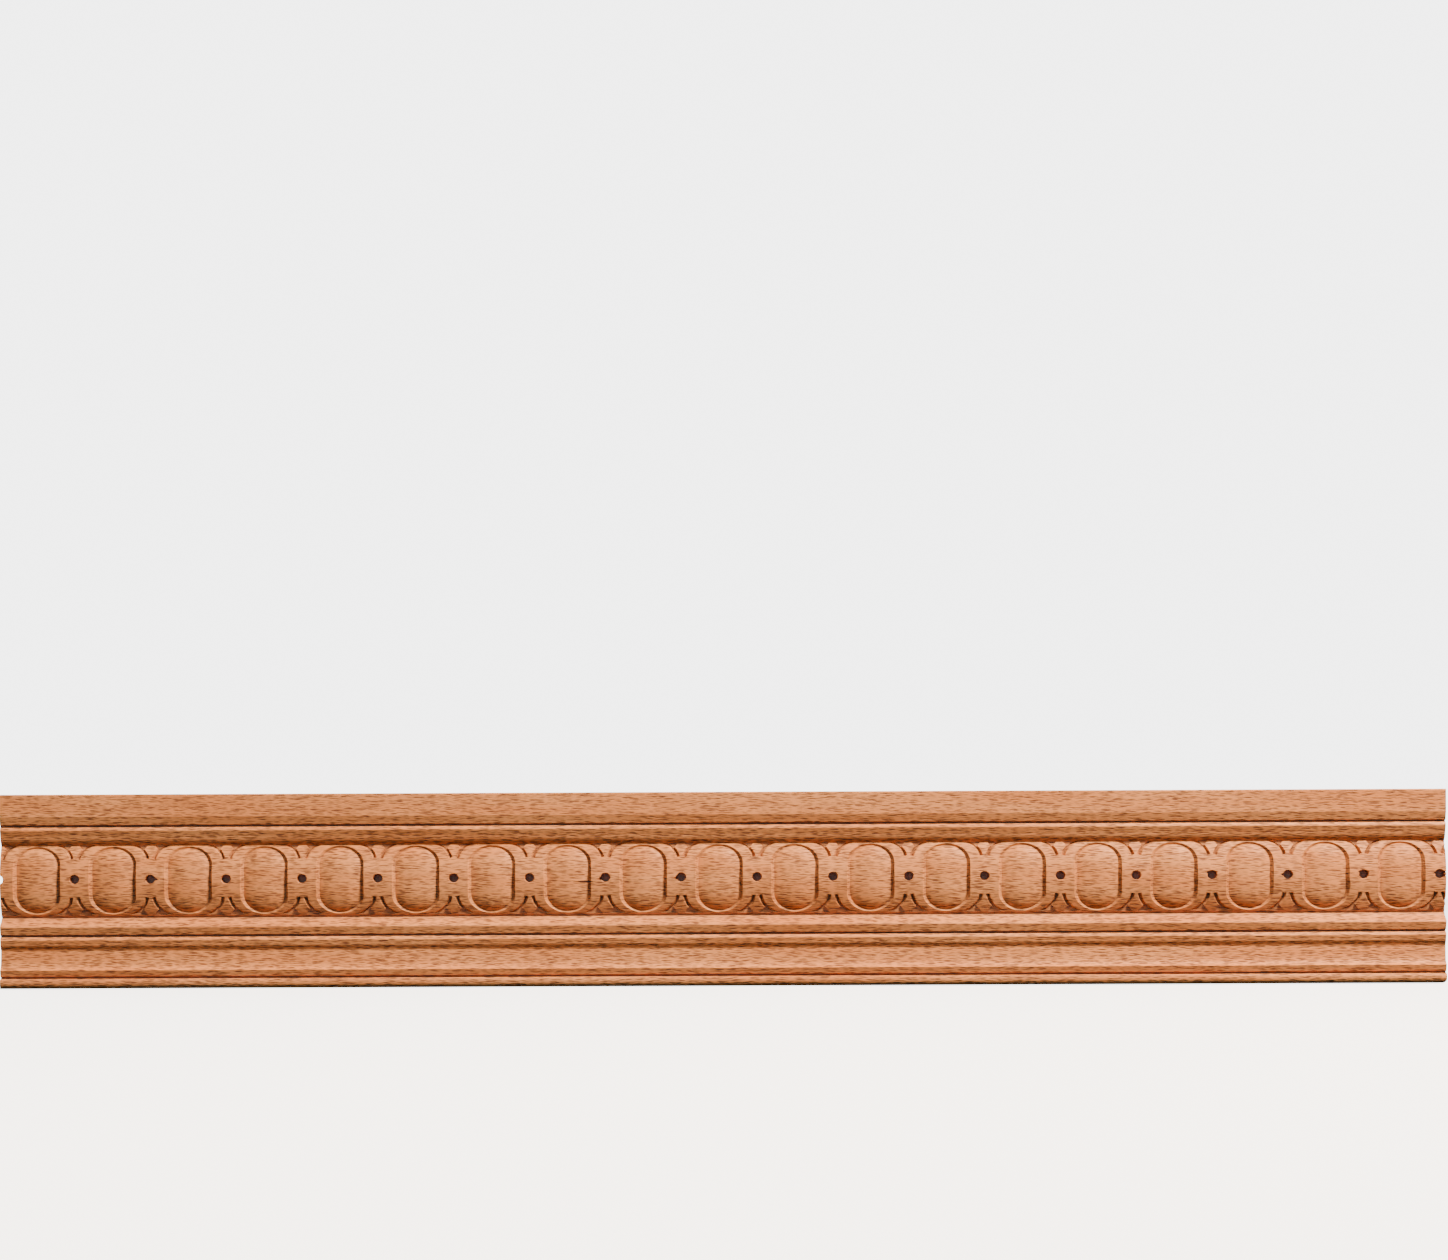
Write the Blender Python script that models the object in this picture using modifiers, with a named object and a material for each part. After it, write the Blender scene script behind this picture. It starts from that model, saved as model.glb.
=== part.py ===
"""Carved beech moulding strip with an egg and dart band, one solid piece.

The strip runs along X. Its flat back lies in the plane y = 0, its carved face looks along -Y and its
plain flat band is uppermost. Across the strip, places are given as a distance down from the top edge;
heights are measured from the back towards the front. All sizes are in metres.
"""

import math

import bmesh
import bpy
from mathutils import Matrix

MM = 0.001

# Overall size and the rhythm of the carving
LENGTH = 447.2 * MM
WIDTH = 60.0 * MM
PITCH = 23.45 * MM
EGG_COUNT = 19
FIRST_HOLE_FROM_LEFT_END = -0.4 * MM

# Edges of the board
BACK_ROUND = 2.0 * MM
FRONT_ROUND = 0.4 * MM

# Plain flat band along the top edge, with a slope down to the first quirk
FLAT_HEIGHT = 7.5 * MM
FLAT_END = 6.95 * MM
SLOPE_END = 9.4 * MM
SLOPE_END_HEIGHT = 6.75 * MM

# Small ovolo between the first quirk and the egg band
OVOLO_CREST = 10.9 * MM
OVOLO_HEIGHT = 7.0 * MM

# Round band that carries the eggs, an arc between its two valleys
BAND_TOP = 15.7 * MM
BAND_BOTTOM = 37.3 * MM
BAND_HEIGHT = 7.5 * MM
VALLEY_HEIGHT = 4.95 * MM
VALLEY_WIDTH = 0.4 * MM

# Ramp below the egg band, then the slope to the second quirk
RAMP_CREST = 41.6 * MM
RAMP_HEIGHT = 7.5 * MM
RAMP_SLOPE_END = 43.55 * MM
RAMP_SLOPE_HEIGHT = 6.9 * MM

# Ogee and cove between the second and third quirks
OGEE_CREST = 45.2 * MM
OGEE_HEIGHT = 7.2 * MM
COVE_LOW = 49.0 * MM
COVE_HEIGHT = 5.75 * MM
COVE_END = 54.4 * MM
COVE_END_HEIGHT = 7.6 * MM
COVE_POWER = 2.2
COVE_SLOPE_END = 56.3 * MM
COVE_SLOPE_HEIGHT = 7.2 * MM

# Half-round bead along the bottom edge
BEAD_CREST = 58.0 * MM
BEAD_HEIGHT = 8.0 * MM
BEAD_FOOT_HEIGHT = 6.0 * MM

# Quirks, the narrow V grooves at the foot of each slope
QUIRK_WIDTH = 0.75 * MM
QUIRK_DEPTH = 0.4 * MM

# Eggs, each a convex oval left standing in a drafted oval pocket
POCKET_WIDTH = 14.4 * MM
POCKET_TOP = 16.4 * MM
POCKET_BOTTOM = 36.9 * MM
POCKET_END_ROUND = 5.4 * MM
POCKET_DRAFT = 0.7 * MM
POCKET_DEPTH = 2.9 * MM
EGG_CREST_DROP = 0.15 * MM
EGG_HALF_WIDTH = 11.2 * MM
EGG_HALF_HEIGHT = 10.7 * MM
EGG_HALF_DEPTH = 4.0 * MM

# Drilled holes between the eggs
HOLE_DIAMETER = 2.9 * MM
HOLE_PLACE = 26.3 * MM
HOLE_DEPTH = 3.2 * MM
DRILL_TIP_ANGLE = math.radians(118)

# V cuts along the outer edges of the rings, which leave the darts between them
DART_NECK_HALF = 1.05 * MM
UPPER_NECK_PLACE = 20.0 * MM
LOWER_NECK_PLACE = 31.8 * MM
UPPER_RING_CENTRE = (6.2 * MM, 21.1 * MM)
LOWER_RING_CENTRE = (6.85 * MM, 31.05 * MM)
CUT_RADIUS_AT_NECK = 0.6 * MM
CUT_RADIUS_AT_EDGE = 0.25 * MM

# Chips cut between each dart's wide end, the ring and the valley
CHIP_DEPTH = 0.7 * MM
CHIP_FOOT_SCALE = 0.3
UPPER_CHIP_PLACE = (2.35 * MM, 17.3 * MM)
UPPER_CHIP_WIDTH = 2.5 * MM
LOWER_CHIP_PLACE = (2.65 * MM, 34.9 * MM)
LOWER_CHIP_WIDTH = 3.3 * MM

# Fineness of the round shapes
CORNER_STEPS = 3
OVOLO_STEPS = 5
BAND_STEPS = 8
OGEE_STEPS = 4
BEAD_STEPS = 5
POCKET_END_STEPS = 6
EGG_SEGMENTS = 16
EGG_RINGS = 8
HOLE_SEGMENTS = 8
CUT_STEPS = 2

CLEAR_ABOVE = 0.8 * MM
WELD = 0.001 * MM
BAND_CENTRE = (BAND_TOP + BAND_BOTTOM) / 2
BAND_RISE = BAND_HEIGHT - VALLEY_HEIGHT
BAND_RADIUS = ((BAND_BOTTOM - BAND_TOP) ** 2 / 4 + BAND_RISE ** 2) / (2 * BAND_RISE)
FIRST_HOLE = -LENGTH / 2 + FIRST_HOLE_FROM_LEFT_END
FIRST_EGG = FIRST_HOLE + PITCH / 2


def band_height(across):
    """Height of the round band's surface at a place across the strip."""
    return BAND_HEIGHT - BAND_RADIUS + math.sqrt(BAND_RADIUS ** 2 - (across - BAND_CENTRE) ** 2)


def arc(centre, radii, start, end, steps):
    """Points on an elliptical arc; the angles are in degrees, counted from the first axis."""
    points = []
    for step in range(steps + 1):
        angle = math.radians(start + (end - start) * step / steps)
        points.append((centre[0] + radii[0] * math.cos(angle), centre[1] + radii[1] * math.sin(angle)))
    return points


def eased(start, end, steps, ease):
    """Points from start to end, evenly spaced across, whose height follows an easing function."""
    points = []
    for step in range(steps + 1):
        part = step / steps
        points.append((start[0] + (end[0] - start[0]) * part, start[1] + (end[1] - start[1]) * ease(part)))
    return points


def s_curve(part):
    """Easing that is level at both ends."""
    return (1 - math.cos(math.pi * part)) / 2


def cove_curve(part):
    """Easing that leaves its low end level and steepens towards its high end."""
    return part ** COVE_POWER


def slope_and_quirk(foot):
    """Foot of a slope with the bottom and the far lip of the V groove cut there."""
    bottom = (foot[0] + QUIRK_WIDTH / 2, foot[1] - QUIRK_DEPTH)
    far_lip = (foot[0] + QUIRK_WIDTH, foot[1])
    return [foot, bottom, far_lip]


def section_outline():
    """The strip's section as (across, height) points, from the back of the top edge round."""
    back_round = (BACK_ROUND, BACK_ROUND)
    front_round = (FRONT_ROUND, FRONT_ROUND)
    outline = arc(back_round, back_round, 270, 180, CORNER_STEPS)
    outline += arc((FRONT_ROUND, FLAT_HEIGHT - FRONT_ROUND), front_round, 180, 90, CORNER_STEPS)
    outline.append((FLAT_END, FLAT_HEIGHT))
    outline += slope_and_quirk((SLOPE_END, SLOPE_END_HEIGHT))
    ovolo_radii = (BAND_TOP - OVOLO_CREST, OVOLO_HEIGHT - VALLEY_HEIGHT)
    outline += arc((OVOLO_CREST, VALLEY_HEIGHT), ovolo_radii, 90, 10, OVOLO_STEPS)
    for step in range(BAND_STEPS + 1):
        across = BAND_TOP + (BAND_BOTTOM - BAND_TOP) * step / BAND_STEPS
        outline.append((across, band_height(across)))
    ramp_foot = (BAND_BOTTOM + VALLEY_WIDTH, VALLEY_HEIGHT)
    outline += eased(ramp_foot, (RAMP_CREST, RAMP_HEIGHT), OGEE_STEPS, s_curve)
    outline += slope_and_quirk((RAMP_SLOPE_END, RAMP_SLOPE_HEIGHT))
    cove_low = (COVE_LOW, COVE_HEIGHT)
    outline += eased((OGEE_CREST, OGEE_HEIGHT), cove_low, OGEE_STEPS, s_curve)
    outline += eased(cove_low, (COVE_END, COVE_END_HEIGHT), OGEE_STEPS, cove_curve)[1:]
    outline += slope_and_quirk((COVE_SLOPE_END, COVE_SLOPE_HEIGHT))
    bead_radii = (WIDTH - BEAD_CREST, BEAD_HEIGHT - BEAD_FOOT_HEIGHT)
    outline += arc((BEAD_CREST, BEAD_FOOT_HEIGHT), bead_radii, 115, 0, BEAD_STEPS)
    outline += arc((WIDTH - BACK_ROUND, BACK_ROUND), back_round, 360, 270, CORNER_STEPS)
    return outline


def mesh_from_curve(curve_object):
    """Closed and welded mesh of a curve object in world space; the curve is removed."""
    bpy.context.view_layer.update()
    graph = bpy.context.evaluated_depsgraph_get()
    mesh = bpy.data.meshes.new_from_object(curve_object.evaluated_get(graph))
    mesh.transform(curve_object.matrix_world)
    mesh.shade_flat()
    curve = curve_object.data
    bpy.data.objects.remove(curve_object)
    bpy.data.curves.remove(curve)
    shape = bmesh.new()
    shape.from_mesh(mesh)
    bmesh.ops.remove_doubles(shape, verts=shape.verts, dist=WELD)
    bmesh.ops.recalc_face_normals(shape, faces=shape.faces)
    shape.to_mesh(mesh)
    shape.free()
    return mesh


def mesh_from_shape(shape, name):
    """Mesh with the geometry of a bmesh, which is freed."""
    mesh = bpy.data.meshes.new(name)
    shape.to_mesh(mesh)
    shape.free()
    return mesh


def extruded_outline(name, points, half_thickness):
    """Curve object of a closed flat outline, extruded both ways along its own Z."""
    curve = bpy.data.curves.new(name, "CURVE")
    curve.dimensions = "2D"
    curve.fill_mode = "BOTH"
    curve.extrude = half_thickness
    spline = curve.splines.new("POLY")
    spline.points.add(len(points) - 1)
    for point, (x, y) in zip(spline.points, points):
        point.co = (x, y, 0, 1)
    spline.use_cyclic_u = True
    outline = bpy.data.objects.new(name, curve)
    bpy.context.scene.collection.objects.link(outline)
    return outline


def add_cutter(name, mesh, collection, first_along):
    """Cutter at its first station; its own X runs along the strip, Y up and Z out of the face."""
    cutter = bpy.data.objects.new(name, mesh)
    cutter.rotation_euler.x = math.radians(90)
    cutter.location.x = first_along
    cutter.display_type = "WIRE"
    cutter.hide_render = True
    collection.objects.link(cutter)
    return cutter


def repeat_along(cutter, count):
    """Repeat a cutter at the pitch along the strip."""
    row = cutter.modifiers.new("row", "ARRAY")
    row.count = count
    row.use_relative_offset = False
    row.use_constant_offset = True
    row.constant_offset_displace = (PITCH, 0, 0)
    row.merge_threshold = WELD


def twin_across_hole(cutter):
    """Give a cutter its twin on the other side of the hole's centre line."""
    twin = cutter.modifiers.new("twin", "MIRROR")
    twin.use_mirror_merge = False
    twin.merge_threshold = WELD


def cut_away(target, cutter):
    """Cut a cutter's shape out of the target."""
    cut = target.modifiers.new(cutter.name, "BOOLEAN")
    cut.operation = "DIFFERENCE"
    cut.solver = "EXACT"
    cut.object = cutter


def make_egg_cutter(collection):
    """Oval pocket with drafted walls, hollowed by an ellipsoid so that a convex egg stays."""
    height_up = WIDTH / 2 - (POCKET_TOP + POCKET_BOTTOM) / 2
    half_width = POCKET_WIDTH / 2
    half_length = (POCKET_BOTTOM - POCKET_TOP) / 2
    straight = half_length - POCKET_END_ROUND
    end_radii = (half_width, POCKET_END_ROUND)
    outline = arc((0, straight), end_radii, 0, 180, POCKET_END_STEPS)
    outline += arc((0, -straight), end_radii, 180, 360, POCKET_END_STEPS)
    half_thickness = (POCKET_DEPTH + CLEAR_ABOVE) / 2
    mesh = mesh_from_curve(extruded_outline("pocket", outline, half_thickness))
    for vertex in mesh.vertices:
        if vertex.co.z < 0:
            vertex.co.x *= 1 - POCKET_DRAFT / half_width
            vertex.co.y *= 1 - POCKET_DRAFT / half_length
    mesh.transform(Matrix.Translation((0, height_up, BAND_HEIGHT + CLEAR_ABOVE - half_thickness)))
    pocket = add_cutter("egg_pocket", mesh, collection, FIRST_EGG)

    shape = bmesh.new()
    bmesh.ops.create_uvsphere(shape, u_segments=EGG_SEGMENTS, v_segments=EGG_RINGS, radius=1)
    bmesh.ops.scale(shape, verts=shape.verts, vec=(EGG_HALF_WIDTH, EGG_HALF_HEIGHT, EGG_HALF_DEPTH))
    egg_centre = (0, height_up, BAND_HEIGHT - EGG_CREST_DROP - EGG_HALF_DEPTH)
    bmesh.ops.translate(shape, verts=shape.verts, vec=egg_centre)
    egg = add_cutter("egg", mesh_from_shape(shape, "egg"), collection, FIRST_EGG)
    cut_away(pocket, egg)
    pocket.modifiers.new("flat faces", "TRIANGULATE")
    repeat_along(pocket, EGG_COUNT)
    return pocket


def make_hole_cutter(collection):
    """Drill with a conical tip; the first and last holes are cut open by the strip's ends."""
    shape = bmesh.new()
    made = bmesh.ops.create_cone(
        shape,
        cap_ends=True,
        cap_tris=True,
        segments=HOLE_SEGMENTS,
        radius1=HOLE_DIAMETER / 2,
        radius2=HOLE_DIAMETER / 2,
        depth=HOLE_DEPTH + CLEAR_ABOVE,
    )
    on_axis = [vertex for vertex in made["verts"] if vertex.co.xy.length < WELD]
    tip = min(on_axis, key=lambda vertex: vertex.co.z)
    tip.co.z -= HOLE_DIAMETER / 2 / math.tan(DRILL_TIP_ANGLE / 2)
    middle = (0, WIDTH / 2 - HOLE_PLACE, BAND_HEIGHT + (CLEAR_ABOVE - HOLE_DEPTH) / 2)
    bmesh.ops.translate(shape, verts=shape.verts, vec=middle)
    drill = add_cutter("hole", mesh_from_shape(shape, "hole"), collection, FIRST_HOLE)
    repeat_along(drill, EGG_COUNT + 1)
    return drill


def make_ring_cutter(name, ring_centre, neck_place, edge_place, collection):
    """V cut along a ring's outer edge, widest at the dart's neck, with its twin."""
    radius = math.hypot(ring_centre[0] - DART_NECK_HALF, neck_place - ring_centre[1])
    neck_angle = math.asin((neck_place - ring_centre[1]) / radius)
    edge_angle = math.asin(max(-1, min(1, (edge_place - ring_centre[1]) / radius)))
    curve = bpy.data.curves.new(name, "CURVE")
    curve.dimensions = "3D"
    curve.twist_mode = "Z_UP"
    curve.bevel_depth = CUT_RADIUS_AT_NECK
    curve.bevel_resolution = 0
    curve.use_fill_caps = True
    spline = curve.splines.new("POLY")
    spline.points.add(CUT_STEPS)
    for step, point in enumerate(spline.points):
        part = step / CUT_STEPS
        angle = neck_angle + (edge_angle - neck_angle) * part
        along = ring_centre[0] - radius * math.cos(angle)
        across = ring_centre[1] + radius * math.sin(angle)
        point.co = (along, WIDTH / 2 - across, band_height(across), 1)
        point.radius = 1 + (CUT_RADIUS_AT_EDGE / CUT_RADIUS_AT_NECK - 1) * part
    tube = bpy.data.objects.new(name, curve)
    bpy.context.scene.collection.objects.link(tube)
    cutter = add_cutter(name, mesh_from_curve(tube), collection, FIRST_HOLE)
    twin_across_hole(cutter)
    repeat_along(cutter, EGG_COUNT + 1)
    return cutter


def make_chip_cutter(name, place, base_place, width, collection):
    """Three-sided chip at a dart's wide end, pointing at the dart's neck, with its twin."""
    along, point_place = place
    shape = bmesh.new()
    bmesh.ops.create_cone(
        shape,
        cap_ends=True,
        segments=3,
        radius1=CHIP_FOOT_SCALE,
        radius2=1,
        depth=CHIP_DEPTH + CLEAR_ABOVE,
    )
    length = abs(base_place - point_place)
    scale = (width / math.sqrt(3), length / 1.5, 1)
    bmesh.ops.scale(shape, verts=shape.verts, vec=scale)
    if point_place > base_place:
        half_turn = Matrix.Rotation(math.pi, 3, "Z")
        bmesh.ops.rotate(shape, verts=shape.verts, matrix=half_turn)
    across = base_place + (point_place - base_place) / 3
    height = band_height(across) + (CLEAR_ABOVE - CHIP_DEPTH) / 2
    bmesh.ops.translate(shape, verts=shape.verts, vec=(along, WIDTH / 2 - across, height))
    cutter = add_cutter(name, mesh_from_shape(shape, name), collection, FIRST_HOLE)
    twin_across_hole(cutter)
    repeat_along(cutter, EGG_COUNT + 1)
    return cutter


def beech():
    """Salmon-tan beech with a dull finish."""
    material = bpy.data.materials.new("beech")
    material.use_nodes = True
    shader = material.node_tree.nodes["Principled BSDF"]
    shader.inputs["Base Color"].default_value = (0.50, 0.25, 0.12, 1)
    shader.inputs["Roughness"].default_value = 0.55
    shader.inputs["Metallic"].default_value = 0
    return material


def make_strip():
    """The strip: its section extruded along X, then cut by the carving tools."""
    collection = bpy.data.collections.new("wooden_moulding_strip")
    cutters = bpy.data.collections.new("carving_cutters")
    bpy.context.scene.collection.children.link(collection)
    bpy.context.scene.collection.children.link(cutters)
    blank = extruded_outline("blank", section_outline(), LENGTH / 2)
    blank.matrix_world = Matrix(((0, 0, -1, 0), (0, -1, 0, 0), (-1, 0, 0, WIDTH / 2), (0, 0, 0, 1)))
    strip = bpy.data.objects.new("moulding_strip", mesh_from_curve(blank))
    strip.data.materials.append(beech())
    collection.objects.link(strip)
    tools = [
        make_egg_cutter(cutters),
        make_hole_cutter(cutters),
        make_ring_cutter("upper_ring_cut", UPPER_RING_CENTRE, UPPER_NECK_PLACE, BAND_TOP, cutters),
        make_ring_cutter("lower_ring_cut", LOWER_RING_CENTRE, LOWER_NECK_PLACE, BAND_BOTTOM, cutters),
        make_chip_cutter("upper_chip", UPPER_CHIP_PLACE, BAND_TOP, UPPER_CHIP_WIDTH, cutters),
        make_chip_cutter("lower_chip", LOWER_CHIP_PLACE, BAND_BOTTOM, LOWER_CHIP_WIDTH, cutters),
    ]
    for tool in tools:
        cut_away(strip, tool)
    return strip


def main():
    """Clear the scene and make the strip."""
    for item in list(bpy.data.objects):
        bpy.data.objects.remove(item, do_unlink=True)
    make_strip()


main()
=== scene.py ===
import math
import random

import bmesh
import bpy
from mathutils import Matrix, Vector


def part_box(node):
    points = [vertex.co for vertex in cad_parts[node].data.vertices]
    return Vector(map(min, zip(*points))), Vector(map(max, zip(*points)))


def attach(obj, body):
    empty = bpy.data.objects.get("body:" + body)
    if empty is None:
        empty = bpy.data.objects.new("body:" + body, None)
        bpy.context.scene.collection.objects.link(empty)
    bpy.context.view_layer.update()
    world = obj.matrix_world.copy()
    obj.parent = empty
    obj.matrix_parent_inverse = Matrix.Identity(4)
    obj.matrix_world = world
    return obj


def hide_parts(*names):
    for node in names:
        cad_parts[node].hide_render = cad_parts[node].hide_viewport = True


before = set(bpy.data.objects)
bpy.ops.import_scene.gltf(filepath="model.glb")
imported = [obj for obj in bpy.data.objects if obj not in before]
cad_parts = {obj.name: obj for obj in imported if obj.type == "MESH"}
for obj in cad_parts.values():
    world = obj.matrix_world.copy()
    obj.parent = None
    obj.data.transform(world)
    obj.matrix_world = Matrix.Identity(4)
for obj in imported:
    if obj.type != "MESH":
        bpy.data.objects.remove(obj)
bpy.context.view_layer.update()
low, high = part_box("moulding_strip")
print("frame loaded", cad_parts)

# The strip runs along X, its flat back is at y = 0 and its carved face looks along -Y.
# It is modelled at one unit a millimetre and scaled down at the end. Across it, places are
# given as a distance down from the top edge, and heights are counted from the back.
strip = dict(
    length=(high[0] - low[0]) * 1000,
    width=(high[2] - low[2]) * 1000,
    thickness=-low[1] * 1000,
    pitch=23.45,
    holeCount=20,
    firstHoleFromEnd=-0.4,         # its middle is just off the end
    backRound=2.0,
    frontRound=0.4,
    softenOver=14,                 # edges that turn by more degrees than this are softened
    edgeSoftening=0.07,
    smoothUnder=28,                # edges that turn by fewer degrees than this are shaded smooth
    clearance=1.0,                 # how far the cutters stand out of the face
    touching=0.01,                 # how near counts as on a level or a line
    inPlane=0.001,                 # and as in the plane of a length's end
    merge=0.002,                   # vertices nearer than this are welded
    section=dict(
        flat=(6.95, 7.5),          # end of the plain flat band
        flatSlope=(9.4, 6.75),
        ovoloCrest=(11.3, 7.0),
        ovoloSlope=(13.0, 6.4),
        ovoloTilt=0.45,            # share of its fall that is a plain slope
        ovoloPower=3,
        ovoloGap=(0.15, 0.1),      # its foot stops this short of the band, along and up
        bandTop=15.8,
        bandBottom=37.5,
        bandCrest=7.5,
        bandSteps=44,
        valley=4.95,
        valleyWidth=0.95,
        valleyCut=0.45,
        valleyShares=(0.25, 0.75),
        ramp=(41.2, 7.5),
        rampSlope=(43.35, 6.85),
        ogeeCrest=(45.2, 7.2),
        ogeeShelf=(46.2, 6.9),
        coveLow=(48.6, 6.0),
        coveEnd=(54.4, 7.6),
        coveTilt=0.22,             # share of the cove's rise that is a plain slope
        covePower=8,
        coveSlope=(56.2, 7.05),
        bead=(58.2, 7.998),
        beadDepth=3.0,
        beadAngles=(114, 45),      # from the quirk round to the bottom edge
        quirkWidth=0.92,
        quirkDepth=0.8,
        quirkShares=(0.28, 0.62, 1),   # along its width: both ends of its bottom, and its far lip
        lipDrop=0.15,              # how far a quirk's far lip is below its near one
    ),
    egg=dict(
        pocketWidth=14.7,
        pocketTop=16.15,
        pocketBottom=37.1,
        endRound=5.6,              # height of the half ellipse at each end
        wallLean=0.95,             # how far the wall leans in for each mm of depth
        wallDepth=1.5,
        sides=72,
        crestDrop=0.28,
        halfSizes=(9.9, 10.5, 4.0),
        boxiness=0.7,              # under 1, the egg is flatter along its middle
        equatorGap=0.05,           # the pocket stops this short of the egg's widest level
        segments=88,
        rings=56,
    ),
    hole=dict(diameter=2.75, down=26.3, depth=3.2, tipAngle=118, sides=40, rimSlope=0.16),
    dart=dict(
        neckHalf=1.05,
        upperNeck=20.0,
        lowerNeck=31.8,
        upperRing=(6.2, 21.1),     # centre of the ring's outer edge: along from the hole, down
        lowerRing=(6.85, 31.2),
        cutAtNeck=(0.68, 1.15),    # half width and depth of the V cut
        cutAtEdge=(0.45, 0.65),
        fade=0.3,                  # share of the cut's length over which it dies away
        fadeEnd=1.03,              # just past the end, so that the cut never quite closes
        leastFade=0.05,
        steps=18,
        chipDepth=0.9,             # at a chip's point; it runs out at the band's edge
        chipEnd=0.25,              # its depth at its base
        chipInset=0.05,            # its base stops this short of the band's edge
        upperChip=((2.55, 17.7), (1.1, 4.3)),   # its point, along and down, and the reach of its base
        lowerChip=((2.9, 34.9), (0.8, 5.3)),
    ),
    damage=dict(
        seed=4,
        rimRoughness=0.13,         # in mm, along the grain
        rimDepth=0.4,              # vertices this near the face move
        rimReach=0.05,             # and this near the rim
        # By hole, from the left: side, height from its middle, half width and reach of each tear
        tears={
            2: [(1, 0.0, 0.5, 1.2), (-1, -0.1, 0.3, 0.5)],
            8: [(-1, -0.5, 0.35, 1.7), (-1, 0.0, 0.25, 0.7)],
            9: [(-1, -0.3, 0.4, 1.4), (-1, 0.3, 0.25, 0.5)],
            16: [(-1, 0.9, 0.5, 0.75), (1, 0.9, 0.5, 0.7)],
            17: [(-1, 0.0, 0.45, 0.95)],
            18: [(-1, 0.9, 0.5, 0.7), (1, 0.9, 0.5, 0.6)],
            19: [(1, 0.65, 0.5, 1.3), (1, -0.6, 0.5, 1.2), (-1, 0.3, 0.35, 0.5)],
        },
        chippedWalls={17: (26.9, 31.2), 18: (27.7, 30.8)},   # hole to the right, from and to down
        chipReach=(0.1, 0.5),
        wallDepth=0.5,             # vertices this near the face move
        wallReach=0.06,            # and this near the wall
        crackAt=8,                 # hole to the right of the cracked egg
        crackAlong=(-10.2, -2.6),
        crackDown=27.6,
        crackHalfWidth=0.36,
        crackDepth=1.7,
        cornerRound=1.3,
        cornerSides=64,
    ),
    painted=dict(                  # how dark the painted shade in the recesses is, from 0 to 1
        quirkReach=0.25,           # shares of their widths
        valleyReach=0.35,
        valley=0.6,
        crackReach=0.4,            # painted shade reaches this far either side of the crack's line
        crackFloor=0.1,            # and this far above its bottom
        pocketRim=1.01,            # 1 on the rim; what lies outside it is the band
        cutDepth=1.4,              # a cut this deep is darkest
        lowSide=(2.4, 0.5),        # shade along the band's lower edge: its width and darkness
        wallDrop=0.1,              # a wall's shade starts this far below the face
        wall=(0.82, 0.03, 0.3),    # where it starts inside the pocket, over what share, how dark
        boreShade=(1.2, 1.5),           # painted shade down the drilled holes: depth at which it starts, and over which it grows
    ),
)
section, egg, hole = strip["section"], strip["egg"], strip["hole"]
dart, damage = strip["dart"], strip["damage"]
firstHole = -strip["length"] / 2 + strip["firstHoleFromEnd"]
bandCentre = (section["bandTop"] + section["bandBottom"]) / 2
bandRise = section["bandCrest"] - section["valley"]
bandHalf = (section["bandBottom"] - section["bandTop"]) / 2
bandRadius = (bandHalf ** 2 + bandRise ** 2) / (2 * bandRise)


def bandHeight(down):
    return section["bandCrest"] - bandRadius + math.sqrt(bandRadius ** 2 - (down - bandCentre) ** 2)


def up(down):
    return strip["width"] / 2 - down


# Outline of the section

def arc(centre, radii, start, end, steps):
    points = []
    for step in range(steps + 1):
        angle = math.radians(start + (end - start) * step / steps)
        points.append((centre[0] + radii[0] * math.cos(angle), centre[1] + radii[1] * math.sin(angle)))
    return points


def eased(start, end, steps, ease):
    points = []
    for step in range(steps + 1):
        part = step / steps
        points.append((start[0] + (end[0] - start[0]) * part, start[1] + (end[1] - start[1]) * ease(part)))
    return points


def sCurve(part):
    return (1 - math.cos(math.pi * part)) / 2


def shoulder(part):
    return math.sin(math.pi / 2 * part)


def ovoloFall(part):
    return section["ovoloTilt"] * part + (1 - section["ovoloTilt"]) * part ** section["ovoloPower"]


def coveCurve(part):
    return section["coveTilt"] * part + (1 - section["coveTilt"]) * part ** section["covePower"]


def quirkAfter(foot):
    bottom = foot[1] - section["quirkDepth"]
    places = [foot[0] + section["quirkWidth"] * share for share in section["quirkShares"]]
    return [foot, (places[0], bottom), (places[1], bottom), (places[2], foot[1] - section["lipDrop"])]


def sectionOutline():
    s = section
    back = (strip["backRound"], strip["backRound"])
    front = strip["frontRound"]
    outline = arc(back, back, 270, 180, 9)
    outline += arc((front, s["flat"][1] - front), (front, front), 180, 90, 6)
    outline.append(s["flat"])
    outline += quirkAfter(s["flatSlope"])
    outline += eased(outline[-1], s["ovoloCrest"], 6, shoulder)[1:]
    ovoloFoot = (s["bandTop"] - s["ovoloGap"][0], s["valley"] + s["ovoloGap"][1])
    outline += eased(s["ovoloSlope"], ovoloFoot, 12, ovoloFall)
    for step in range(s["bandSteps"] + 1):
        down = s["bandTop"] + 2 * bandHalf * step / s["bandSteps"]
        outline.append((down, bandHeight(down)))
    for share in s["valleyShares"]:
        outline.append((s["bandBottom"] + s["valleyWidth"] * share, s["valley"] - s["valleyCut"]))
    outline += eased((s["bandBottom"] + s["valleyWidth"], s["valley"]), s["ramp"], 14, sCurve)
    outline += quirkAfter(s["rampSlope"])
    outline += eased(outline[-1], s["ogeeCrest"], 6, shoulder)[1:]
    outline += eased(s["ogeeShelf"], s["coveLow"], 12, sCurve)
    outline += eased(s["coveLow"], s["coveEnd"], 18, coveCurve)[1:]
    outline += quirkAfter(s["coveSlope"])
    beadWidth = (strip["width"] - s["bead"][0]) / math.cos(math.radians(s["beadAngles"][1]))
    beadCentre = (s["bead"][0], s["bead"][1] - s["beadDepth"])
    outline += arc(beadCentre, (beadWidth, s["beadDepth"]), *s["beadAngles"], 12)
    outline += arc((strip["width"] - back[0], back[1]), back, 360, 270, 9)
    return outline


# Helpers for modelling by hand

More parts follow.
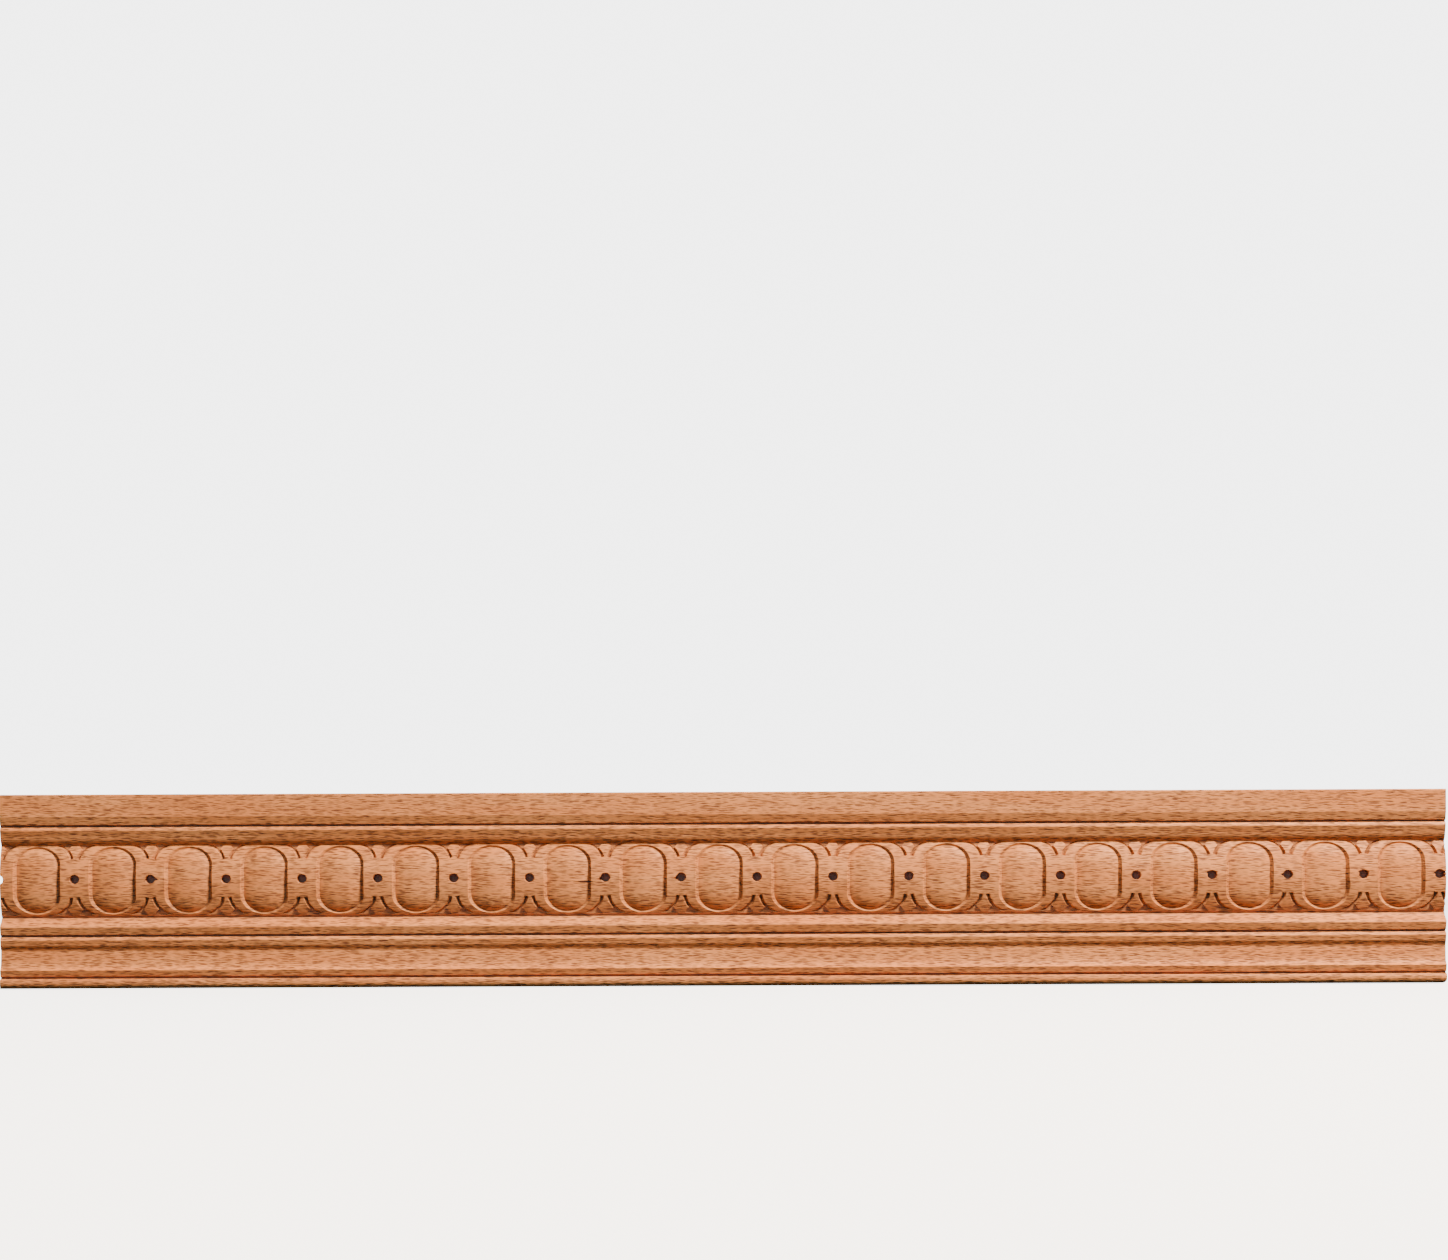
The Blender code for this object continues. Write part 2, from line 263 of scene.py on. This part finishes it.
def deselectAll():
    if bpy.context.object and bpy.context.object.mode != "OBJECT":
        bpy.ops.object.mode_set(mode="OBJECT")
    bpy.ops.object.select_all(action="DESELECT")


def activate(piece):
    deselectAll()
    piece.select_set(True)
    bpy.context.view_layer.objects.active = piece


def pick(kind, test):
    # Selects only the vertices, edges or faces of the edited mesh that pass the test
    bpy.ops.mesh.select_mode(type={"verts": "VERT", "edges": "EDGE", "faces": "FACE"}[kind])
    bpy.ops.mesh.select_all(action="DESELECT")
    mesh = bmesh.from_edit_mesh(bpy.context.object.data)
    for part in getattr(mesh, kind):
        if test(part):
            part.select_set(True)
    bmesh.update_edit_mesh(bpy.context.object.data)


def closeUp():
    # Welds doubles, points the faces outwards and leaves edit mode
    bpy.ops.mesh.select_all(action="SELECT")
    bpy.ops.mesh.remove_doubles(threshold=strip["merge"])
    bpy.ops.mesh.normals_make_consistent(inside=False)
    bpy.ops.object.mode_set(mode="OBJECT")


def applyTransform(piece):
    activate(piece)
    bpy.ops.object.transform_apply(location=True, rotation=True, scale=True)


def applyModifier(piece, kind, **settings):
    activate(piece)
    modifier = piece.modifiers.new(kind.lower(), kind)
    for name, value in settings.items():
        setattr(modifier, name, value)
    bpy.ops.object.modifier_apply(modifier=modifier.name)


def cutAway(piece, cutter):
    applyModifier(piece, "BOOLEAN", operation="DIFFERENCE", solver="EXACT", object=cutter)
    mesh = cutter.data
    bpy.data.objects.remove(cutter)
    bpy.data.meshes.remove(mesh)


def drape(piece, flatHeight=None):
    # Moves the vertices down onto the round band, as far as the band falls below its crest
    for vertex in piece.data.vertices:
        if flatHeight is None or flatHeight(-vertex.co.y):
            down = min(max(strip["width"] / 2 - vertex.co.z, section["bandTop"]), section["bandBottom"])
            vertex.co.y += section["bandCrest"] - bandHeight(down)


# The plain length between a hole's middle and the next egg's middle

def makeBlank():
    points = sectionOutline()
    deselectAll()
    bpy.ops.mesh.primitive_plane_add(size=1, location=(0, -points[0][1], up(points[0][0])))
    blank = bpy.context.object
    bpy.ops.object.transform_apply(location=True, rotation=True, scale=True)
    bpy.ops.object.mode_set(mode="EDIT")
    bpy.ops.mesh.select_mode(type="VERT")
    bpy.ops.mesh.select_all(action="SELECT")
    bpy.ops.mesh.merge(type="CENTER")
    for before, after in zip(points, points[1:]):
        step = (0, before[1] - after[1], before[0] - after[0])
        bpy.ops.mesh.extrude_vertices_move(TRANSFORM_OT_translate={"value": step})
    bpy.ops.mesh.select_all(action="SELECT")
    bpy.ops.mesh.remove_doubles(threshold=strip["merge"])
    bpy.ops.mesh.edge_face_add()
    bpy.ops.mesh.extrude_region_move(TRANSFORM_OT_translate={"value": (strip["pitch"] / 2, 0, 0)})
    bpy.ops.mesh.select_all(action="SELECT")
    bpy.ops.mesh.normals_make_consistent(inside=False)
    sharp = math.radians(strip["softenOver"])
    lengthwise = strip["pitch"] / 4
    pick("edges", lambda e: (abs((e.verts[0].co - e.verts[1].co).x) > lengthwise
                             and e.calc_face_angle(0) > sharp))
    bpy.ops.mesh.bevel(offset=strip["edgeSoftening"], segments=2, affect="EDGES", clamp_overlap=True)
    closeUp()
    return blank


# Cutters

def makePocketCutter():
    # An oval pocket with leaning walls, less an ellipsoid, so that the egg is left standing
    halfWidth = egg["pocketWidth"] / 2
    middleUp = up((egg["pocketTop"] + egg["pocketBottom"]) / 2)
    halfLength = (egg["pocketBottom"] - egg["pocketTop"]) / 2
    topHeight = section["bandCrest"] + strip["clearance"]
    deselectAll()
    bpy.ops.mesh.primitive_circle_add(vertices=egg["sides"], radius=halfWidth, fill_type="NGON",
                                      location=(strip["pitch"] / 2, -topHeight, middleUp),
                                      rotation=(math.pi / 2, 0, 0))
    pocket = bpy.context.object
    bpy.ops.transform.resize(value=(1, 1, egg["endRound"] / halfWidth))
    applyTransform(pocket)
    bpy.ops.object.mode_set(mode="EDIT")
    for side in (1, -1):
        # The halves are drawn apart, so that the sides run straight between the round ends
        pick("verts", lambda v: (v.co.z - middleUp) * side > strip["touching"])
        bpy.ops.transform.translate(value=(0, 0, side * (halfLength - egg["endRound"])))
    pick("faces", lambda f: True)
    bpy.ops.mesh.extrude_region_move(TRANSFORM_OT_translate={"value": (0, strip["clearance"], 0)})
    bpy.ops.mesh.extrude_region_move(TRANSFORM_OT_translate={"value": (0, egg["wallDepth"], 0)})
    lean = egg["wallLean"] * egg["wallDepth"]
    bpy.ops.transform.resize(value=(1 - lean / halfWidth, 1, 1 - lean / halfLength))
    toEquator = egg["crestDrop"] + egg["halfSizes"][2] - egg["wallDepth"] - egg["equatorGap"]
    bpy.ops.mesh.extrude_region_move(TRANSFORM_OT_translate={"value": (0, toEquator, 0)})
    closeUp()
    levels = (section["bandCrest"], section["bandCrest"] - egg["wallDepth"])
    drape(pocket, lambda height: any(abs(height - level) < strip["touching"] for level in levels))
    applyModifier(pocket, "TRIANGULATE")
    eggHeight = section["bandCrest"] - egg["crestDrop"] - egg["halfSizes"][2]
    deselectAll()
    bpy.ops.mesh.primitive_uv_sphere_add(segments=egg["segments"], ring_count=egg["rings"], radius=1,
                                         location=(strip["pitch"] / 2, -eggHeight, middleUp),
                                         rotation=(math.pi / 2, 0, 0), scale=egg["halfSizes"])
    dome = bpy.context.object
    applyTransform(dome)
    for vertex in dome.data.vertices:
        part = (vertex.co.z - middleUp) / egg["halfSizes"][1]
        vertex.co.z = middleUp + math.copysign(abs(part) ** egg["boxiness"], part) * egg["halfSizes"][1]
    cutAway(pocket, dome)
    return pocket


def makeDrill():
    radius = hole["diameter"] / 2
    rim = radius + hole["rimSlope"]
    deselectAll()
    middle = section["bandCrest"] + strip["clearance"] / 2
    bpy.ops.mesh.primitive_cylinder_add(vertices=hole["sides"], radius=rim, depth=strip["clearance"],
                                        location=(0, -middle, up(hole["down"])),
                                        rotation=(math.pi / 2, 0, 0))
    drill = bpy.context.object
    applyTransform(drill)
    bpy.ops.object.mode_set(mode="EDIT")
    pick("faces", lambda f: f.normal.y > 0.9)
    bpy.ops.mesh.extrude_region_move(TRANSFORM_OT_translate={"value": (0, hole["rimSlope"], 0)})
    bpy.ops.transform.resize(value=(radius / rim, 1, radius / rim))
    bpy.ops.mesh.extrude_region_move(TRANSFORM_OT_translate={"value": (0, hole["depth"], 0)})
    tip = radius / math.tan(math.radians(hole["tipAngle"] / 2))
    bpy.ops.mesh.extrude_region_move(TRANSFORM_OT_translate={"value": (0, tip, 0)})
    bpy.ops.mesh.merge(type="CENTER")
    closeUp()
    return drill


def makeRingCutter(ring, neck, edge):
    # A V groove swept round the ring's outer edge, tapered from the dart's neck to the band's edge
    alongCentre, downCentre = ring
    radius = math.hypot(alongCentre - dart["neckHalf"], neck - downCentre)
    start = math.asin((neck - downCentre) / radius)
    end = math.asin(max(-1, min(1, (edge - downCentre) / radius)))
    centre = Vector((alongCentre, -section["bandCrest"], up(downCentre)))
    neckPoint = centre + Vector((-radius * math.cos(start), 0, -radius * math.sin(start)))
    deselectAll()
    bpy.ops.mesh.primitive_circle_add(vertices=4, radius=1, fill_type="NOTHING",
                                      location=neckPoint, rotation=(0, -start, 0))
    groove = bpy.context.object
    applyTransform(groove)
    bpy.ops.object.mode_set(mode="EDIT")
    bpy.ops.mesh.select_all(action="SELECT")
    bpy.ops.mesh.spin(steps=dart["steps"], angle=end - start, center=centre, axis=(0, 1, 0))
    bpy.ops.mesh.select_all(action="SELECT")
    bpy.ops.mesh.fill_holes(sides=0)
    closeUp()
    for vertex in groove.data.vertices:
        offset = vertex.co - centre
        angle = math.atan2(-offset.z, -offset.x)
        part = (angle - start) / (end - start)
        outwards = Vector((-math.cos(angle), 0, -math.sin(angle)))
        width, depth = (n + (e - n) * part for n, e in zip(dart["cutAtNeck"], dart["cutAtEdge"]))
        fade = min(max((dart["fadeEnd"] - part) / dart["fade"], dart["leastFade"]), 1)
        width, depth = width * fade, depth * fade
        across = (offset.dot(outwards) - radius) * width
        vertex.co = centre + outwards * (radius + across) + Vector((0, offset.y * depth, 0))
    drape(groove)
    return groove


def makeChipCutter(chip, base):
    # A three-sided chip, deep at its point beside the dart and running out at the band's edge
    (along, point), reach = chip
    corners = [(along, point, dart["chipDepth"])]
    corners += [(place, base, dart["chipEnd"]) for place in reach]
    above = section["bandCrest"] + strip["clearance"]
    deselectAll()
    bpy.ops.mesh.primitive_cylinder_add(vertices=3, radius=1, depth=2, rotation=(math.pi / 2, 0, 0))
    cutter = bpy.context.object
    applyTransform(cutter)
    for vertex in cutter.data.vertices:
        # The corner at the point of the triangle first, then its left and right ends
        number = 0 if vertex.co.z > 0.9 else 1 if vertex.co.x < 0 else 2
        across, down, depth = corners[number]
        height = above if vertex.co.y < 0 else bandHeight(down) - depth
        vertex.co = (across, -height, up(down))
    activate(cutter)
    bpy.ops.object.mode_set(mode="EDIT")
    closeUp()
    return cutter


def makeCrackCutter():
    # An upright blade, pointed at both ends
    start, end = damage["crackAlong"]
    depth = damage["crackDepth"]
    deselectAll()
    bpy.ops.mesh.primitive_cylinder_add(vertices=4, radius=1, depth=2, rotation=(math.pi / 2, 0, 0))
    cutter = bpy.context.object
    bpy.ops.transform.resize(value=((end - start) / 2, depth / 2, damage["crackHalfWidth"]))
    cutter.location = ((start + end) / 2, depth / 2 - section["bandCrest"], up(damage["crackDown"]))
    applyTransform(cutter)
    return cutter


def makeCornerCutter(end):
    # What a round corner leaves off: a block less a cylinder
    radius = damage["cornerRound"]
    thickness = strip["thickness"]
    deselectAll()
    bpy.ops.mesh.primitive_cube_add(size=2, location=(end, -thickness / 2, up(strip["width"])))
    block = bpy.context.object
    bpy.ops.transform.resize(value=(radius, thickness, radius))
    applyTransform(block)
    deselectAll()
    bpy.ops.mesh.primitive_cylinder_add(vertices=damage["cornerSides"], radius=radius, depth=thickness * 2.5,
                                        location=(end - radius, -thickness / 2, up(strip["width"] - radius)),
                                        rotation=(math.pi / 2, 0, 0))
    cutAway(block, bpy.context.object)
    return block


def roughenRims(copy, number, dice):
    # The rims' vertices move along the grain only, so they stay in their own strips of the face
    radius = hole["diameter"] / 2
    walls = damage["chippedWalls"].get(number, (0, 0))
    rightWall = egg["pocketWidth"] / 2 - strip["pitch"] / 2
    near = damage["rimReach"]
    # Taken by place, because the order of a Boolean's vertices can change from run to run
    for vertex in sorted(copy.data.vertices, key=lambda v: [round(c, 2) for c in v.co]):
        along, raised = vertex.co.x, vertex.co.z - up(hole["down"])
        down = strip["width"] / 2 - vertex.co.z
        fromHole = math.hypot(along, raised)
        drop = section["bandCrest"] + vertex.co.y
        onRim = -near < fromHole - radius < hole["rimSlope"] + near
        onWall = abs(along - rightWall) < damage["wallReach"] and walls[0] < down < walls[1]
        if onRim and drop < damage["rimDepth"] and abs(along) > near:
            side = 1 if along > 0 else -1
            reach = dice.uniform(0, damage["rimRoughness"])
            for tearSide, place, half, length in damage["tears"].get(number, []):
                if tearSide == side:
                    reach = max(reach, length * (1 - abs(raised - place) / half))
            vertex.co.x += side * reach
        elif onWall and drop < damage["wallDepth"]:
            vertex.co.x += dice.uniform(*damage["chipReach"])


# One carved length, from egg middle to egg middle, with the hole and its two darts in between

def makeTile():
    tile = makeBlank()
    print("blank section", len(tile.data.polygons), "faces")
    cutAway(tile, makePocketCutter())
    cutAway(tile, makeDrill())
    cutAway(tile, makeRingCutter(dart["upperRing"], dart["upperNeck"], section["bandTop"]))
    cutAway(tile, makeRingCutter(dart["lowerRing"], dart["lowerNeck"], section["bandBottom"]))
    cutAway(tile, makeChipCutter(dart["upperChip"], section["bandTop"] + dart["chipInset"]))
    cutAway(tile, makeChipCutter(dart["lowerChip"], section["bandBottom"] - dart["chipInset"]))
    activate(tile)
    bpy.ops.object.mode_set(mode="EDIT")
    pick("faces", lambda f: all(abs(v.co.x) < strip["inPlane"] for v in f.verts))
    bpy.ops.mesh.delete(type="FACE")
    bpy.ops.object.mode_set(mode="OBJECT")
    applyModifier(tile, "MIRROR", use_mirror_merge=True, merge_threshold=strip["merge"])
    print("carved length", len(tile.data.polygons), "faces")
    return tile


def makeStrip():
    tile = makeTile()
    halfPitch = strip["pitch"] / 2
    lengths = []
    dice = random.Random(damage["seed"])
    for number in range(strip["holeCount"]):
        activate(tile)
        bpy.ops.object.duplicate(linked=False)
        copy = bpy.context.object
        if number == damage["crackAt"]:
            cutAway(copy, makeCrackCutter())
        if number == strip["holeCount"] - 1:
            cutAway(copy, makeCornerCutter(strip["length"] / 2 - firstHole - number * strip["pitch"]))
        roughenRims(copy, number, dice)
        activate(copy)
        bpy.ops.object.mode_set(mode="EDIT")
        pick("faces", lambda f: all(abs(abs(v.co.x) - halfPitch) < strip["inPlane"] for v in f.verts))
        bpy.ops.mesh.delete(type="FACE")
        bpy.ops.mesh.select_all(action="SELECT")
        bpy.ops.transform.translate(value=(firstHole + number * strip["pitch"], 0, 0))
        bpy.ops.object.mode_set(mode="OBJECT")
        lengths.append(copy)
    bpy.data.objects.remove(tile)
    deselectAll()
    for length in lengths:
        length.select_set(True)
    bpy.context.view_layer.objects.active = lengths[0]
    bpy.ops.object.join()
    whole = bpy.context.object
    bpy.ops.object.mode_set(mode="EDIT")
    bpy.ops.mesh.select_all(action="SELECT")
    bpy.ops.mesh.remove_doubles(threshold=strip["merge"])
    for side in (-1, 1):
        bpy.ops.mesh.select_all(action="SELECT")
        bpy.ops.mesh.bisect(plane_co=(side * strip["length"] / 2, 0, 0), plane_no=(side, 0, 0),
                            use_fill=True, clear_outer=True)
    bpy.ops.object.mode_set(mode="OBJECT")
    whole.name = "carved_strip"
    whole.data.name = "carved_strip"
    whole.scale = (0.001, 0.001, 0.001)
    applyTransform(whole)
    bpy.ops.object.shade_smooth_by_angle(angle=math.radians(strip["smoothUnder"]))
    applyModifier(whole, "WEIGHTED_NORMAL", mode="FACE_AREA", keep_sharp=True)
    return whole


def insidePocket(along, down):
    # 1 on the pocket's rim, less inside it
    fromEgg = abs((along - firstHole) % strip["pitch"] - strip["pitch"] / 2)
    middle = (egg["pocketTop"] + egg["pocketBottom"]) / 2
    straight = (egg["pocketBottom"] - egg["pocketTop"]) / 2 - egg["endRound"]
    beyond = max(abs(down - middle) - straight, 0) / egg["endRound"]
    return math.hypot(fromEgg / (egg["pocketWidth"] / 2), beyond)


def clamped(value):
    return min(max(value, 0), 1)


def paintShade(whole):
    # Paints shade into two attributes: the first is 1 deep in the cuts and 0 on the open surface, the second
    # is 1 down the drilled holes
    s = section
    paint = strip["painted"]
    quirkMiddle = s["quirkWidth"] * sum(s["quirkShares"][:2]) / 2
    quirks = [foot[0] + quirkMiddle for foot in (s["flatSlope"], s["rampSlope"], s["coveSlope"])]
    valley = s["bandBottom"] + s["valleyWidth"] / 2
    crackedHole = firstHole + damage["crackAt"] * strip["pitch"]
    crackFrom, crackTo = (crackedHole + end for end in damage["crackAlong"])
    crackFloor = s["bandCrest"] - damage["crackDepth"] + paint["crackFloor"]
    paintedShade = whole.data.attributes.new("paintedShade", "FLOAT", "POINT")
    boreShade = whole.data.attributes.new("boreShade", "FLOAT", "POINT")
    for vertex in whole.data.vertices:
        along, height = vertex.co.x * 1000, -vertex.co.y * 1000
        down = strip["width"] / 2 - vertex.co.z * 1000
        onFace = height > strip["backRound"]
        inCrack = crackFrom < along < crackTo and abs(down - damage["crackDown"]) < paint["crackReach"]
        value = 0
        # Painted shade: darkest in the quirks and the crack, less in the valley, and growing with depth in
        # the cuts, along the band's lower edge and down the pocket walls
        if onFace and any(abs(down - quirk) < s["quirkWidth"] * paint["quirkReach"] for quirk in quirks):
            value = 1
        elif onFace and abs(down - valley) < s["valleyWidth"] * paint["valleyReach"]:
            value = paint["valley"]
        elif inCrack and height < crackFloor:
            value = 1
        elif onFace and s["bandTop"] - strip["touching"] < down < s["bandBottom"] + strip["touching"]:
            drop = bandHeight(min(max(down, s["bandTop"]), s["bandBottom"])) - height
            oval = insidePocket(along, down)
            if oval > paint["pocketRim"]:
                wide, dark = paint["lowSide"]
                shade = clamped((down - s["bandBottom"]) / wide + 1) * dark
                value = max(clamped(drop / paint["cutDepth"]), shade)
            elif drop > paint["wallDrop"]:
                begins, share, dark = paint["wall"]
                value = clamped((oval - begins) / share) * dark
            # Painted shade down the drilled holes, growing with depth
            begins, grows = paint["boreShade"]
            boreShade.data[vertex.index].value = clamped((drop - begins) / grows)
        paintedShade.data[vertex.index].value = value


piece = makeStrip()
paintShade(piece)
bpy.context.view_layer.update()
print("strip", len(piece.data.vertices), "vertices,",
      sum(len(f.vertices) - 2 for f in piece.data.polygons), "triangles")
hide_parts("moulding_strip")
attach(piece, "root")


# Beech

class Wire:
    # A socket of a shader tree, so that its maths reads as arithmetic
    def __init__(self, tree, socket=None):
        self.tree = tree
        self.socket = socket

    def node(self, kind, settings=(), inputs=(), output=0):
        made = self.tree.nodes.new("ShaderNode" + kind)
        for name, value in dict(settings).items():
            setattr(made, name, value)
        for name, value in dict(inputs).items():
            if isinstance(value, Wire):
                self.tree.links.new(value.socket, made.inputs[name])
            else:
                made.inputs[name].default_value = value
        return Wire(self.tree, made.outputs[output] if made.outputs else None)

    def math(self, operation, *values):
        return self.node("Math", {"operation": operation}, dict(enumerate(values)))

    def __add__(self, other):
        return self.math("ADD", self, other)

    __radd__ = __add__

    def __sub__(self, other):
        return self.math("SUBTRACT", self, other)

    def __rsub__(self, other):
        return self.math("SUBTRACT", other, self)

    def __mul__(self, other):
        return self.math("MULTIPLY", self, other)

    __rmul__ = __mul__

    def between(self, start, end):
        # 0 at start, 1 at end, eased and clamped
        return self.node("MapRange", {"interpolation_type": "SMOOTHSTEP"},
                         {"Value": self, "From Min": start, "From Max": end})


def mixColours(wires, factor, first, second):
    return wires.node("Mix", {"data_type": "RGBA"}, {0: factor, 6: first, 7: second}, output=2)


beechLooks = dict(
    pale=(0.94, 0.39, 0.145, 1),
    warm=(0.84, 0.305, 0.1, 1),
    fleck=(0.22, 0.085, 0.04, 1),
    # Colours of the painted shade in the cuts and grooves, and down the drilled holes
    paintedShade=(0.17, 0.105, 0.075, 1),
    boreShade=(0.42, 0.22, 0.17, 1),
    endGrain=(0.42, 0.22, 0.12, 1),
    fleckSpacing=(4.0, 0.55),      # along and across the grain, in mm
    fineSpacing=(2.4, 0.32),
    waveSize=(7.0, 1.3),
    fibreSize=(9.0, 0.14),
    toneSize=(60.0, 6.0),
    waverSize=(5.0, 3.0),
    ringSize=(0.8, 0.5),
    inDepth=4.0,                   # how much longer a mark is into the wood than across the grain
    waver=0.9,
    scatter=0.85,
    markEdge=(0.52, 0.24),         # how far from a mark's middle it starts and is full
    waveEdge=(0.42, 0.66),
    fibreEdge=(0.45, 0.75),
    toneEdge=(0.3, 0.7),
    ringEdge=(0.35, 0.7),
    endEdge=(0.0001, 0.00002),     # end grain starts and is full this far from an end, in m
    fleckDark=0.58,
    fineDark=0.52,
    waveDark=0.18,
    fibreDark=0.15,
    # how strongly the painted shade darkens the cuts and grooves
    paintedShadeDark=0.85,
    endDark=0.8,
    roughness=0.46,
    markRoughness=0.12,
    specular=0.25,
    fibreRise=0.4,
    fleckSink=0.7,
    fineSink=0.3,
    bumpHeight=0.00006,
)


def makeBeech():
    looks = beechLooks
    material = bpy.data.materials.new("bare_beech")
    material.use_nodes = True
    tree = material.node_tree
    tree.nodes.clear()
    wires = Wire(tree)
    place = wires.node("TexCoord", output=3)

    def spot(along, across, seed):
        return wires.node("Mapping", {"vector_type": "POINT"}, {
            "Vector": place, "Location": (seed, seed * 0.7, seed * 1.3),
            "Scale": (1000 / along, 1000 / across / looks["inDepth"], 1000 / across)})

    def noise(size, detail, seed):
        return wires.node("TexNoise", {"noise_dimensions": "3D"}, {
            "Vector": spot(*size, seed), "Scale": 1.0, "Detail": detail, "Roughness": 0.55})

    waver = noise(looks["waverSize"], 1.0, 2.3)
    aside = wires.node("CombineXYZ", {}, {"X": 0.0, "Y": 0.0, "Z": waver * looks["waver"]})

    def dashes(size, seed):
        # Lens-shaped marks, one to a cell, drawn out along the grain and wavering a little
        shifted = wires.node("VectorMath", {"operation": "ADD"}, {0: spot(*size, seed), 1: aside})
        return wires.node("TexVoronoi", {"voronoi_dimensions": "3D", "feature": "F1"}, {
            "Vector": shifted, "Scale": 1.0, "Randomness": looks["scatter"]}).between(*looks["markEdge"])

    tone = noise(looks["toneSize"], 2.0, 3.1).between(*looks["toneEdge"])
    waves = noise(looks["waveSize"], 2.5, 5.9).between(*looks["waveEdge"])
    fibre = noise(looks["fibreSize"], 2.0, 7.3)
    flecks = dashes(looks["fleckSpacing"], 11.7)
    fine = dashes(looks["fineSpacing"], 17.9)
    base = mixColours(wires, tone, looks["pale"], looks["warm"])
    marks = flecks * looks["fleckDark"] + fine * looks["fineDark"] + waves * looks["waveDark"]
    marks = marks + fibre.between(*looks["fibreEdge"]) * looks["fibreDark"]
    marked = mixColours(wires, marks, base, looks["fleck"])
    # Painted shade: the cuts, grooves and crack darkened, and the drilled holes darkened with depth
    paintedShade = wires.node("Attribute", {"attribute_name": "paintedShade"}, output=2)
    boreShade = wires.node("Attribute", {"attribute_name": "boreShade"}, output=2)
    withShade = mixColours(wires, paintedShade * looks["paintedShadeDark"], marked, looks["paintedShade"])
    withBoreShade = mixColours(wires, boreShade, withShade, looks["boreShade"])
    along = wires.node("SeparateXYZ", {}, {"Vector": place})
    tip = strip["length"] / 2000
    ends = along.math("ABSOLUTE", along).between(*(tip - edge for edge in looks["endEdge"]))
    rings = noise(looks["ringSize"], 3.0, 23.9).between(*looks["ringEdge"])
    endWood = mixColours(wires, rings, looks["endGrain"], looks["fleck"])
    finished = mixColours(wires, ends * looks["endDark"], withBoreShade, endWood)
    relief = fibre * looks["fibreRise"] - flecks * looks["fleckSink"] - fine * looks["fineSink"]
    bump = wires.node("Bump", {}, {"Height": relief, "Strength": 1.0, "Distance": looks["bumpHeight"]})
    shader = wires.node("BsdfPrincipled", {}, {
        "Base Color": finished, "Roughness": marks * looks["markRoughness"] + looks["roughness"],
        "Specular IOR Level": looks["specular"], "Normal": bump})
    wires.node("OutputMaterial", {}, {"Surface": shader})
    return material


piece.data.materials.clear()
piece.data.materials.append(makeBeech())
print("beech made")

# Studio: floor, light and camera
studio = dict(
    cameraDistance=0.9,        # from the strip's crest
    cameraAside=0.0003,
    frameWidth=0.4473,         # width of the picture at the crest
    sensor=36.0,
    shiftUp=258.8 / 1448,
    roll=0.25,
    lights=[                   # each shines from its direction onto the origin
        dict(name="key", direction=(0.46, -0.46, 0.76), distance=1.4, size=0.3, power=57.5,
             colour=(1.0, 0.77, 0.53)),
        dict(name="fill", direction=(-0.1, -1, 0.1), distance=1.6, size=1.6, power=6.6,
             colour=(0.72, 0.90, 1.0)),
        dict(name="back", direction=(-0.8, 1, 0.6), distance=1.5, size=1.5, power=24.0,
             colour=(1, 1, 1)),
    ],
    floorSize=12,
    floorGap=0.0003,
    floorColour=(0.86, 0.86, 0.85, 1),
    floorRoughness=0.9,
    floorSpecular=0.1,
    floorGlow=3.5,
    worldGlow=4.8,
)


def makeFloor():
    deselectAll()
    bpy.ops.mesh.primitive_plane_add(size=studio["floorSize"], location=(0, 0, low[2] - studio["floorGap"]))
    floor = bpy.context.object
    floor.name = "floor"
    # The floor and the world glow for the camera only, so the strip is lit by its three lights
    floor.visible_diffuse = False
    floor.visible_glossy = False
    material = bpy.data.materials.new("pale_floor")
    material.use_nodes = True
    shader = material.node_tree.nodes["Principled BSDF"]
    shader.inputs["Base Color"].default_value = studio["floorColour"]
    shader.inputs["Roughness"].default_value = studio["floorRoughness"]
    shader.inputs["Specular IOR Level"].default_value = studio["floorSpecular"]
    shader.inputs["Emission Color"].default_value = (1, 1, 1, 1)
    shader.inputs["Emission Strength"].default_value = studio["floorGlow"]
    floor.data.materials.append(material)


def addLight(name, direction, distance, size, power, colour):
    towards = Vector(direction).normalized()
    deselectAll()
    bpy.ops.object.light_add(type="AREA", location=towards * distance)
    light = bpy.context.object
    light.name = name
    light.rotation_euler = towards.to_track_quat("Z", "Y").to_euler()
    light.data.shape = "DISK"
    light.data.size = size
    light.data.energy = power
    light.data.color = colour


def addCamera():
    deselectAll()
    distance = studio["cameraDistance"] - low[1]
    bpy.ops.object.camera_add(location=(studio["cameraAside"], -distance, 0),
                              rotation=(math.pi / 2, math.radians(studio["roll"]), 0))
    camera = bpy.context.object
    camera.data.sensor_width = studio["sensor"]
    camera.data.lens = studio["sensor"] * studio["cameraDistance"] / studio["frameWidth"]
    camera.data.shift_y = studio["shiftUp"]
    camera.data.dof.use_dof = False
    bpy.context.scene.camera = camera


def makeWorld():
    world = bpy.data.worlds.new("studio")
    world.use_nodes = True
    bpy.context.scene.world = world
    background = world.node_tree.nodes["Background"]
    background.inputs["Color"].default_value = (1, 1, 1, 1)
    background.inputs["Strength"].default_value = studio["worldGlow"]
    world.cycles_visibility.diffuse = False
    world.cycles_visibility.glossy = False


makeFloor()
makeWorld()
for light in studio["lights"]:
    addLight(**light)
addCamera()
print("studio ready")
